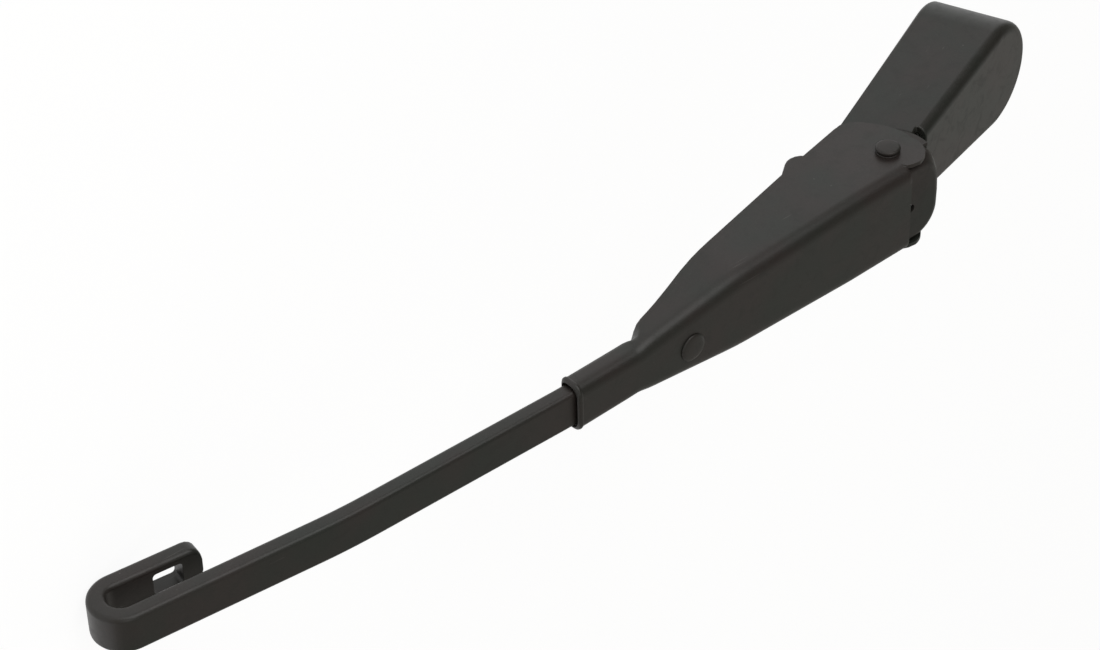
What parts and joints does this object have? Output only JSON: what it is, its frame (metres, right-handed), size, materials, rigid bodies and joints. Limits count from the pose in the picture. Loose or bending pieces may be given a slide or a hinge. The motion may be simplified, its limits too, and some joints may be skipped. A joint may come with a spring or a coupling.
{
  "type": "wiper arm",
  "caption": "Sprung J-hook windscreen wiper arm: splined head, hinge, pressed channel arm and hooked flat strip for a blade.",
  "frame": {"origin": "mouth of the spindle bore, on its axis, at the lower rim of the head", "axes": "+Z along the spindle and away from the glass, +X towards the hook, Y along the hinge pin"},
  "size_m": [0.2601, 0.0266, 0.0934],
  "materials": {
    "black_paint": "semi-matt black powder coat",
    "bare_steel": "plain turned steel",
    "spring_steel": "drawn spring steel",
    "brass_bush": "turned brass",
    "nylon": "natural nylon"
  },
  "bodies": {
    "head": {"mounting_head": "black_paint", "spline_bush": "bare_steel", "retaining_clip": "spring_steel", "hinge_bush": "brass_bush", "anchor_pin": "bare_steel", "left_washer": "nylon", "right_washer": "nylon"},
    "arm": {"channel": "black_paint", "hinge_hood": "black_paint", "hook_strip": "black_paint", "strip_rivet": "black_paint", "hinge_pin": "black_paint", "tension_spring": "spring_steel"}
  },
  "joints": [
    {"name": "arm_hinge", "type": "hinge", "parent": "head", "child": "arm", "pos_m": [0.0515, 0, 0.015], "axis": [0, -1, 0], "range_deg": [0, 85], "deforming": ["tension_spring"]}
  ]
}
